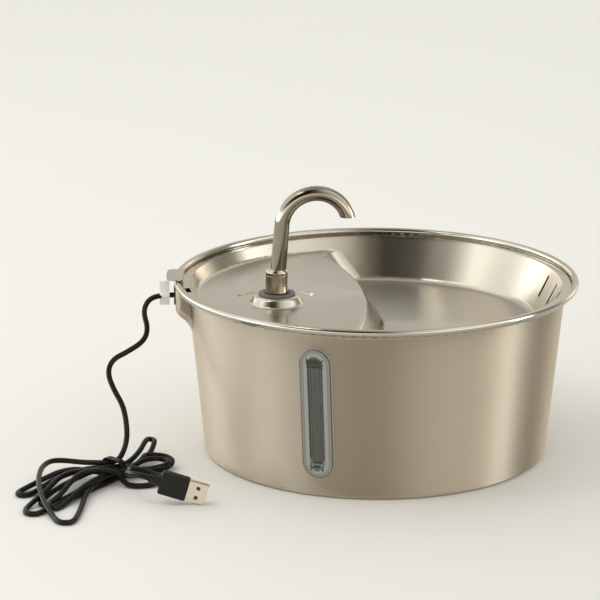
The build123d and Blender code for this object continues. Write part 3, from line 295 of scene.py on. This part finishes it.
def open_foam(name, colour, cell_scale=700.0):
    """Open-celled foam or pressed fibre, with painted shade that darkens its cell pattern where it
    runs deep.
    """
    material, graph, shader = new_material(name)
    position = graph.position()
    cells = graph.add("ShaderNodeTexVoronoi")
    graph.put(cells.inputs["Vector"], position)
    cells.inputs["Scale"].default_value = cell_scale
    distance = cells.outputs["Distance"]
    depth = graph.remap(distance, 0.1, 0.7)
    # painted shade: darker where the cell pattern runs deeper
    graph.put(shader.inputs["Base Color"], graph.mix(depth, shade(colour, 1.15), shade(colour, 0.45)))
    shader.inputs["Roughness"].default_value = 0.9
    graph.put(shader.inputs["Normal"], graph.bump(distance, 0.6, 0.0006))
    return material


CORD_BLACK = (0.0065, 0.006, 0.0048)
PLUG_BLACK = (0.009, 0.008, 0.006)
BOWL_RIM = (0.103, 0.1055)  # heights between which the bowl's sheet turns into its polished bead
TRAY_RIM = (0.1045, 0.107)

# looks by the names of the record's material slots
FINISHES = {
    "bowl_steel": brushed_steel("bowl_steel_look", (0.53, 0.468, 0.378), 0.6, 0.95, 0.5, BOWL_RIM),
    "tray_steel": brushed_steel("tray_steel_look", (0.50, 0.465, 0.40), 0.22, 0.85, 0.2, TRAY_RIM),
    "spout_steel": polished_steel("spout_steel_look", (0.295, 0.273, 0.226), 0.11),
    "collar_steel": polished_steel("collar_steel_look", (0.43, 0.375, 0.30), 0.14),
    "screw_steel": polished_steel("screw_steel_look", (0.62, 0.60, 0.56), 0.28),
    "shaft_steel": polished_steel("shaft_steel_look", (0.68, 0.67, 0.64), 0.15),
    "shell_steel": polished_steel("shell_steel_look", (0.74, 0.68, 0.58), 0.3),
    "grey_silicone": moulded("grey_silicone_look", (0.135, 0.122, 0.105), 0.55, 900.0),
    "clear_silicone": moulded("clear_silicone_look", (0.55, 0.56, 0.54), 0.35, 600.0),
    "black_rubber": moulded("black_rubber_look", (0.03, 0.026, 0.022), 0.5),
    "window_plastic": painted_lens_look("window_painted_light_look"),
    "white_plastic": moulded("white_plastic_look", (0.74, 0.74, 0.71), 0.42),
    "pump_plastic": moulded("pump_plastic_look", (0.05, 0.05, 0.052), 0.45),
    "magnet": moulded("magnet_look", (0.07, 0.068, 0.066), 0.5, 2600.0, 0.3),
    "foam": open_foam("foam_look", (0.10, 0.10, 0.105)),
    "carbon_felt": open_foam("carbon_felt_look", (0.045, 0.045, 0.048), 1100.0),
    "cord_jacket": moulded("cord_jacket_look", CORD_BLACK, 0.34, 1400.0, 0.2, 0.12, 0.2),
    "tie_plastic": moulded("tie_plastic_look", CORD_BLACK, 0.38, 1400.0, 0.2, 0.12, 0.2),
    "tag_paper": moulded("tag_paper_look", (0.90, 0.895, 0.865), 0.7, 500.0, 0.03, 0.2),
    "plug_plastic": moulded("plug_plastic_look", PLUG_BLACK, 0.5, 1100.0, 0.25, 0.5, 0.25),
    "tongue_plastic": moulded("tongue_plastic_look", (0.022, 0.019, 0.014), 0.5),
}
SMOOTH_BELOW = math.radians(32.0)


def dress(node):
    """Puts the looks on a CAD node's material slots and smooths its curved faces."""
    for place in node.material_slots:
        key = place.material.name.split(".")[0] if place.material else ""
        if key in FINISHES:
            place.material = FINISHES[key]
    mesh = node.data
    mesh.shade_smooth()
    mesh.set_sharp_from_angle(angle=SMOOTH_BELOW)


for cad_node in nodes.values():
    dress(cad_node)


# ----------------------------------------------------------------------- cord

CORD_DIAMETER = 3.3
TIE_CENTRE = (-162.5, -56.5)
STRAND_AZIMUTH = math.radians(46.0)
ALONG = (math.cos(STRAND_AZIMUTH), math.sin(STRAND_AZIMUTH))
LANE_PITCH = 3.35
LANE_RISE = 2.9
FLOOR_Z = 1.68
FOLD_STEPS = (90.0, 45.0, 0.0, -45.0, -90.0)
FOLD_TILT = 0.6  # share of the height between the two strands that a fold takes up

# route points in millimetres, from the bowl's outlet down to the bundle
HANG = [
    (-124.9, 0, 99.2),
    (-133.2, 0, 99.2),
    (-140.6, -4, 97.7),
    (-144, -10.6, 91.8),
    (-141, -17, 83),
    (-143.5, -20.5, 75.7),
    (-154, -26.4, 70.6),
    (-163, -30.6, 67.2),
    (-166, -34.8, 60.2),
    (-162.5, -40.2, 51.5),
    (-156.5, -46.2, 42.5),
    (-154.4, -50.5, 31),
    (-154.7, -51, 20.5),
    (-158.7, -52.5, 10),
]
# places under the tie, across and upwards, in strand widths
LANES = [
    (0.4, 2.8),
    (-0.6, 0.7),
    (0.5, 0.3),
    (1.6, 0.8),
    (1.1, 1.7),
    (-1.5, 0),
    (0.3, 2.0),
    (-0.5, 1.5),
    (-1.9, 1.2),
    (-1.2, 1),
]
# each turn of the bundle: the way out, the fold's centre and radius, the way back to the tie
TURNS = [
    (
        [
            (-170, -56, 9.5),
            (-182, -49, 7.5),
            (-194, -39, 6),
            (-202, -36, 4.8),
            (-207.5, -52, 5.2),
            (-207.5, -87, 6.9),
            (-203, -117, 6.0),
        ],
        (-190, -137, 1.7),
        6.5,
        [(-180.5, -115, 1.7), (-179, -92, 5.2), (-170, -74, 6.6)],
    ),
    (
        [(-151.5, -50, 3.4), (-144, -37, 6.5)],
        (-136.5, -38.5, 4.6),
        10.5,
        [(-140, -58, 1.7), (-150, -61, 1.7)],
    ),
    (
        [(-174, -56, 4.5), (-186, -58, 7), (-196, -63, 6.5), (-204, -69, 4.5)],
        (-214.5, -88, 1.8),
        5.5,
        [(-200, -78, 6.5), (-187, -65, 7), (-174, -53, 5.5)],
    ),
    (
        [(-154, -43, 4.4), (-147.5, -27, 6)],
        (-140.6, -10, 8.2),
        2.9,
        [(-140.5, -26, 4.5), (-150.5, -46, 2.4)],
    ),
    (
        [(-173, -62, 6.5), (-182.5, -69, 9), (-190, -77, 10.5), (-196, -84, 9.4), (-202, -93, 5)],
        (-208.5, -121, 1.7),
        6.0,
        [(-197, -110, 1.7), (-187, -98, 1.7), (-178, -86, 1.7), (-170, -74, 1.7)],
    ),
    (
        [(-152, -49, 4.5), (-144, -40, 6)],
        (-135.4, -44, 5.2),
        6.2,
        [(-144, -54, 3.5), (-153, -55, 5)],
    ),
    (
        [(-173, -65, 8.5), (-185, -76, 6.5), (-196, -87, 4.5)],
        (-200.5, -107, 1.7),
        5.5,
        [(-189, -95, 1.8), (-178, -80, 3.5), (-169, -67, 4)],
    ),
    (
        [(-153, -56, 5), (-146, -57, 5.6)],
        (-140.5, -69, 3.2),
        7.5,
        [(-149.5, -82, 1.7), (-157, -75, 2)],
    ),
    (
        [(-167, -70, 8.5), (-174, -75, 11), (-181, -81, 12), (-187, -88, 10.5), (-192, -98, 5)],
        (-196, -112, 1.8),
        5.0,
        [(-184, -98, 6), (-176, -85, 6.5), (-168, -70, 6)],
    ),
]
# from the tie to the back of the plug
PLUG_RUN = [
    (-156.2, -56.8, 5.2),
    (-152.8, -60.5, 6.8),
    (-153.4, -70, 8.8),
    (-154.8, -82, 11.4),
    (-154, -93, 14.8),
    (-151, -101, 17.3),
    (-146, -104.6, 17.5),
    (-141.3, -105, 16.0),
    (-137.3, -105.3, 14.8),
]


def lane(place, row):
    """A strand's point under the tie."""
    across = place * LANE_PITCH
    x = TIE_CENTRE[0] - across * ALONG[1]
    y = TIE_CENTRE[1] + across * ALONG[0]
    return (x, y, FLOOR_Z + row * LANE_RISE)


def fold(before, centre, radius, after):
    """Half circle of points round the centre, from the side of one point to that of the next."""
    middle = ((before[0] + after[0]) / 2, (before[1] + after[1]) / 2)
    ahead = (centre[0] - middle[0], centre[1] - middle[1])
    heading = math.atan2(ahead[1], ahead[0])
    side = ahead[0] * (before[1] - middle[1]) - ahead[1] * (before[0] - middle[0])
    turn = 1 if side > 0 else -1
    points = []
    for step in FOLD_STEPS:
        angle = heading + turn * math.radians(step)
        share = step / 180.0
        height = centre[2] + share * (before[2] - after[2]) * FOLD_TILT
        height = max(height, FLOOR_Z)
        x = centre[0] + radius * math.cos(angle)
        y = centre[1] + radius * math.sin(angle)
        points.append((x, y, height))
    return points


def cord_route():
    points = list(HANG)
    points.append(lane(*LANES[0]))
    for (out, centre, radius, back), following in zip(TURNS, LANES[1:]):
        points += out + fold(out[-1], centre, radius, back[0]) + back
        points.append(lane(*following))
    return points + PLUG_RUN


STRAND_GAP = 3.36  # between the middles of two strands that touch
TIGHT_BEND = 6.0  # radius up to which the strand's own bends don't count as touching
NEAR_ALONG = 4.0  # length of strand within which nothing is pushed
MOST_PUSH = 3.0  # for two samples in one step
SAMPLES = 5  # places looked at between two route points
SETTLE_STEPS = 240
SETTLE_RATE = 1.2
SMOOTHING = 0.02
FLOOR_PUSH = 0.8
# how firmly a strand goes back to its wanted place, across the line of sight and along it
HOLD_ACROSS = 0.30
HOLD_ALONG = 0.02
SIGHT = Vector((0.006, 0.946, -0.324)).normalized()


def blend_matrix(count):
    """Weights of the route points at each sample of a quadratic spline."""
    rows = []
    for index in range(1, count - 1):
        for step in range(SAMPLES):
            part = step / SAMPLES
            start, middle, end = (1 - part) ** 2, 2 * part * (1 - part), part**2
            row = np.zeros(count)
            first = 1.0 if index == 1 else 0.5
            last = 1.0 if index == count - 2 else 0.5
            row[index - 1] += start * first
            row[index] += middle + start * (1 - first) + end * (1 - last)
            row[index + 1] += end * last
            rows.append(row)
    row = np.zeros(count)
    row[-1] = 1.0
    rows.append(row)
    return np.array(rows)


def room_needed(samples):
    """Least distance of each pair of samples, by the length of strand between them."""
    steps = np.linalg.norm(np.diff(samples, axis=0), axis=1)
    arc = np.concatenate(([0.0], np.cumsum(steps)))
    along = np.abs(arc[:, None] - arc[None])
    half_angle = np.minimum(along / (2 * TIGHT_BEND), math.pi / 2)
    chord = 2 * TIGHT_BEND * np.sin(half_angle) * 0.98
    past_bend = along >= math.pi * TIGHT_BEND * 0.8
    needed = np.where(past_bend, STRAND_GAP, np.minimum(chord, STRAND_GAP))
    needed[along < NEAR_ALONG] = 0.0
    return needed


def push_apart(samples):
    """Moves that part the samples which lie too near each other."""
    apart = samples[:, None] - samples[None]
    distance = np.sqrt((apart**2).sum(axis=2)) + 1e-9
    lack = np.clip(room_needed(samples) - distance, 0.0, MOST_PUSH)
    push = ((lack / distance)[:, :, None] * apart).sum(axis=1) * 0.5
    push /= np.sqrt(np.maximum((lack > 0).sum(axis=1), 1))[:, None]
    return push


def settle(points, held_first, held_last):
    """Lays the strands beside and over each other where they would run through each other."""
    laid = np.array(points, float)
    route = laid.copy()
    weights = blend_matrix(len(route))
    shares = weights.sum(axis=0)[:, None]
    wanted = weights @ laid
    sight = np.array(SIGHT)
    moving = np.ones(len(route))
    moving[:held_first] = 0.0
    moving[-held_last:] = 0.0
    for _ in range(SETTLE_STEPS):
        samples = weights @ route
        push = push_apart(samples)
        pull = wanted - samples
        depth = (pull @ sight)[:, None] * sight
        push += HOLD_ACROSS * (pull - depth) + HOLD_ALONG * depth
        push[:, 2] += FLOOR_PUSH * np.clip(FLOOR_Z - samples[:, 2], 0.0, 5.0)
        change = (weights.T @ push) / shares
        smooth = np.zeros_like(route)
        smooth[1:-1] = route[:-2] + route[2:] - 2 * route[1:-1]
        route += (SETTLE_RATE * change + SMOOTHING * smooth) * moving[:, None]
    route[:, 2] = np.maximum(route[:, 2], FLOOR_Z)
    return [tuple(place) for place in route]


def make_spline(name, points, radius):
    curve = bpy.data.curves.new(name, "CURVE")
    curve.dimensions = "3D"
    curve.bevel_depth = radius
    curve.bevel_resolution = 5
    curve.use_fill_caps = True
    spline = curve.splines.new("NURBS")
    spline.points.add(len(points) - 1)
    for point, place in zip(spline.points, points):
        point.co = (place[0], place[1], place[2], 1.0)
    spline.order_u = 3
    spline.use_endpoint_u = True
    spline.resolution_u = 8
    thing = bpy.data.objects.new(name, curve)
    scene.collection.objects.link(thing)
    return thing


HELD_AT_PLUG = 4
settled_route = settle(cord_route(), len(HANG) - 1, HELD_AT_PLUG)
cord_points = [(x * MM, y * MM, z * MM) for x, y, z in settled_route]
cord_steps = zip(cord_points, cord_points[1:])
cord_length = sum((Vector(first) - Vector(second)).length for first, second in cord_steps)
free_cord = make_spline("free_cord", cord_points, CORD_DIAMETER / 2 * MM)
free_cord.data.materials.append(FINISHES["cord_jacket"])
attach(free_cord, "bowl")
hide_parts("cord", "cord_hank", "cord_plug_end")


# ---------------------------------------------------------- marks on the lens

# the bowl's cone and the lens on it, in millimetres
WINDOW_AZIMUTH = math.radians(-112.0)
WALL_FOOT_R = 106.0
WALL_SLOPE = 0.0999
WALL_SQUARE = 1.005  # distance level with the table for each millimetre square to the cone
HALF_SHEET = 0.4
LENS_OUT = 1.8

MARK_INK = moulded("mark_ink_look", (0.03, 0.03, 0.028), 0.5)
MARK_WIDTH = 0.78
MARK_LIFT = 0.04
RULE_WIDTH = 0.55
LETTER_WIDTH = 2.6
LETTER_HEIGHT = 3.4
LETTER_GAP = 1.15
# each letter: its lines in a square of side 1, and its breadth as a share of the letter width
LETTERS = {
    "M": ([[(0, 0), (0, 1), (0.5, 0.35), (1, 1), (1, 0)]], 1.0),
    "A": ([[(0, 0), (0.5, 1), (1, 0)], [(0.2, 0.36), (0.8, 0.36)]], 1.0),
    "X": ([[(0, 0), (1, 1)], [(0, 1), (1, 0)]], 1.0),
    "I": ([[(0, 0), (0, 1)]], 0.0),
    "N": ([[(0, 0), (0, 1), (1, 0), (1, 1)]], 1.0),
}


def wall_radius(height, outwards=0.0):
    """Radius of the bowl's cone, in millimetres."""
    return WALL_FOOT_R + WALL_SLOPE * (height - HALF_SHEET) + (HALF_SHEET + outwards) * WALL_SQUARE


def on_wall(across, height, lift):
    """Point on the lens: millimetres across from its middle and above the table."""
    radius = wall_radius(height, LENS_OUT + lift)
    angle = WINDOW_AZIMUTH + across / radius
    return Vector((radius * math.cos(angle), radius * math.sin(angle), height)) * MM


def stroke_faces(line, width, vertices, faces):
    """Flat bars along a line of (across, height) points."""
    for start, end in zip(line, line[1:]):
        first = Vector((start[0], start[1]))
        second = Vector((end[0], end[1]))
        ahead = (second - first).normalized()
        side = Vector((-ahead.y, ahead.x)) * width / 2
        first = first - ahead * width * 0.3
        second = second + ahead * width * 0.3
        base = len(vertices)
        for corner in (first + side, first - side, second - side, second + side):
            vertices.append(on_wall(corner.x, corner.y, MARK_LIFT))
        faces.append((base, base + 1, base + 2, base + 3))


def write_mark(name, word, left, foot, rule_height, rule_half):
    """A word on the lens, and a level line over or under it."""
    vertices = []
    faces = []
    pen = left
    for letter in word:
        lines, breadth = LETTERS[letter]
        for line in lines:
            points = [(pen + x * LETTER_WIDTH, foot + y * LETTER_HEIGHT) for x, y in line]
            stroke_faces(points, MARK_WIDTH, vertices, faces)
        pen += breadth * LETTER_WIDTH + LETTER_GAP
    rule = [(-rule_half, rule_height), (rule_half, rule_height)]
    stroke_faces(rule, RULE_WIDTH, vertices, faces)
    mesh = bpy.data.meshes.new(name)
    mesh.from_pydata(vertices, [], faces)
    mesh.validate()
    thing = bpy.data.objects.new(name, mesh)
    scene.collection.objects.link(thing)
    mesh.materials.append(MARK_INK)
    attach(thing, "bowl")


write_mark("mark_max", "MAX", left=-4.9, foot=85.0, rule_height=83.4, rule_half=4.9)
write_mark("mark_min", "MIN", left=-4.3, foot=17.8, rule_height=22.6, rule_half=4.5)


# ----------------------------------------------------------- floor and camera

FLOOR_HALF = 4.0
FLOOR_PALE = (rgb(0.84, 0.83, 0.775), rgb(0.86, 0.85, 0.80))
# colour of the painted shade towards the floor's near right
FLOOR_PAINTED_SHADE = rgb(0.76, 0.745, 0.69)


def floor_look():
    """Pale sweep with a faint cloud, and painted shade that darkens it towards its near right part.
    """
    material, graph, shader = new_material("floor_look")
    position = graph.position()
    cloud = graph.noise(position, 3.0, 3.0, 0.5)
    x, y, z = graph.split(position)
    near_right = graph.math("SUBTRACT", x, graph.times(y, 0.5))
    pale = graph.mix(cloud, *FLOOR_PALE)
    # painted shade: the floor darker towards the near right, on the object's shadow side
    painted_shade_floor = graph.mix(graph.remap(near_right, -0.05, 0.45), pale, FLOOR_PAINTED_SHADE)
    graph.put(shader.inputs["Base Color"], painted_shade_floor)
    shader.inputs["Roughness"].default_value = 0.7
    shader.inputs["Specular IOR Level"].default_value = 0.2
    return material


def lay_floor():
    mesh = bpy.data.meshes.new("studio_floor")
    corners = [(-FLOOR_HALF, -FLOOR_HALF), (FLOOR_HALF, -FLOOR_HALF)]
    corners += [(FLOOR_HALF, FLOOR_HALF), (-FLOOR_HALF, FLOOR_HALF)]
    mesh.from_pydata([(x, y, 0.0) for x, y in corners], [], [(0, 1, 2, 3)])
    mesh.materials.append(floor_look())
    floor = bpy.data.objects.new("studio_floor", mesh)
    scene.collection.objects.link(floor)


lay_floor()

camera_data = bpy.data.cameras.new("photo_camera")
camera_data.lens = 180.0
camera_data.sensor_width = 36.0
camera_data.clip_end = 30.0
camera = bpy.data.objects.new("photo_camera", camera_data)
camera.location = (-0.1304, -1.7874, 0.5855)
camera.rotation_euler = (math.radians(74.669), 0.0, math.radians(-2.67))
scene.collection.objects.link(camera)
scene.camera = camera


# --------------------------------------------------------------------- lights

# colour of the room by direction in degrees, as the metal sees it
ROOM_STRENGTH = 4.0
ROOM = [
    (-180, (1, 0.99, 0.95)),
    (-168, (1.3, 1.29, 1.24)),
    (-157, (0.75, 0.742, 0.712)),
    (-145, (0.24, 0.22, 0.18)),
    (-128, (0.05, 0.045, 0.035)),
    (-100, (0.01, 0.009, 0.007)),
    (-86, (0.25, 0.22, 0.17)),
    (-72, (0.85, 0.842, 0.807)),
    (-41, (1.4, 1.39, 1.33)),
    (-24, (1.4, 1.39, 1.33)),
    (-12, (2.2, 2.18, 2.09)),
    (-2, (1.95, 1.93, 1.85)),
    (12, (0.45, 0.42, 0.36)),
    (29, (0.3, 0.28, 0.23)),
    (52, (1, 0.99, 0.95)),
    (80, (0.92, 0.911, 0.874)),
    (93, (0.72, 0.713, 0.684)),
    (122, (1, 0.99, 0.95)),
    (147, (0.85, 0.84, 0.80)),
    (165, (0.7, 0.69, 0.66)),
    (180, (1, 0.99, 0.95)),
]

# brightness near the table top, where bright cards stand round the object
BRIGHT_FROM = 3.2
BRIGHT_TINT = (0.95, 0.99, 0.99)
DULL_TINT = (1.0, 0.88, 0.70)
LOW_ROOM = [
    (-180, 3.5),
    (-168, 6.8),
    (-156, 6.0),
    (-145, 3.9),
    (-115, 2.6),
    (-96, 2.3),
    (-84, 1.5),
    (-67, 3.1),
    (-47, 3.1),
    (-26, 2.2),
    (-15, 1.9),
    (-9, 15.0),
    (-3, 15.0),
    (4, 0.5),
    (29, 0.5),
    (48, 2.8),
    (66, 0.8),
    (100, 0.75),
    (109, 1.9),
    (124, 2.0),
    (147, 6.4),
    (164, 5.2),
    (180, 3.5),
]


def turn_share(degrees):
    return (degrees + 180.0) / 360.0


def room_colour(graph):
    """Colour of the room by direction: a low part, a middle part and a dull top."""
    direction = graph.add("ShaderNodeTexCoord").outputs["Generated"]
    x, y, z = graph.split(direction)
    share = graph.remap(graph.math("ARCTAN2", y, x), -math.pi, math.pi)
    stops = []
    for place, colour in ROOM:
        stops.append((turn_share(place), shade(colour, 1.0 / ROOM_STRENGTH)))
    low_stops = []
    for place, value in LOW_ROOM:
        tint = BRIGHT_TINT if value > BRIGHT_FROM else DULL_TINT
        low_stops.append((turn_share(place), shade(tint, value / ROOM_STRENGTH)))
    low = graph.ramp(share, low_stops)
    middle = graph.ramp(share, stops)
    around = graph.mix(graph.remap(z, 0.1, 0.35), low, middle)
    return graph.mix(graph.remap(z, 0.9, 0.99), around, rgb(0.15, 0.145, 0.13))


def background(graph, colour, strength=1.0):
    node = graph.add("ShaderNodeBackground")
    graph.put(node.inputs["Color"], colour)
    node.inputs["Strength"].default_value = strength
    return node.outputs[0]


def mix_shaders(graph, factor, first, second):
    node = graph.add("ShaderNodeMixShader")
    graph.put(node.inputs[0], factor)
    graph.put(node.inputs[1], first)
    graph.put(node.inputs[2], second)
    return node.outputs[0]


def room_light():
    """Plain soft world, the room for reflections, and the backdrop for the camera."""
    world = bpy.data.worlds.new("studio_room")
    world.use_nodes = True
    scene.world = world
    graph = Graph(world.node_tree)
    output = graph.add("ShaderNodeOutputWorld")
    room = background(graph, room_colour(graph), ROOM_STRENGTH)
    soft = background(graph, rgb(0.93, 0.93, 0.915))
    backdrop = background(graph, rgb(0.847, 0.831, 0.775))
    path = graph.add("ShaderNodeLightPath")
    mirror = graph.math("MAXIMUM", path.outputs["Is Glossy Ray"], path.outputs["Is Transmission Ray"])
    lit = mix_shaders(graph, mirror, soft, room)
    shown = mix_shaders(graph, path.outputs["Is Camera Ray"], lit, backdrop)
    graph.put(output.inputs["Surface"], shown)


LAMP_AIM = Vector((0.0, 0.0, 0.05))


def softbox(name, azimuth, elevation, distance, size, power, colour):
    """Rectangular lamp that looks at the object's middle."""
    lamp = bpy.data.lights.new(name, "AREA")
    lamp.shape = "RECTANGLE"
    lamp.size, lamp.size_y = size
    lamp.energy = power
    lamp.color = colour
    around = math.radians(azimuth)
    up = math.radians(elevation)
    flat = math.cos(up) * distance
    place = Vector((flat * math.cos(around), flat * math.sin(around), math.sin(up) * distance))
    thing = bpy.data.objects.new(name, lamp)
    thing.location = LAMP_AIM + place
    thing.rotation_euler = (-place).to_track_quat("-Z", "Y").to_euler()
    scene.collection.objects.link(thing)


room_light()
softbox("key_softbox", 165.0, 42.0, 1.6, (1.5, 1.1), 4.0, (1.0, 0.97, 0.91))
softbox("front_fill", -154.0, 60.0, 1.8, (0.35, 0.35), 1.6, (1.0, 0.97, 0.92))

scene.view_settings.view_transform = "Standard"
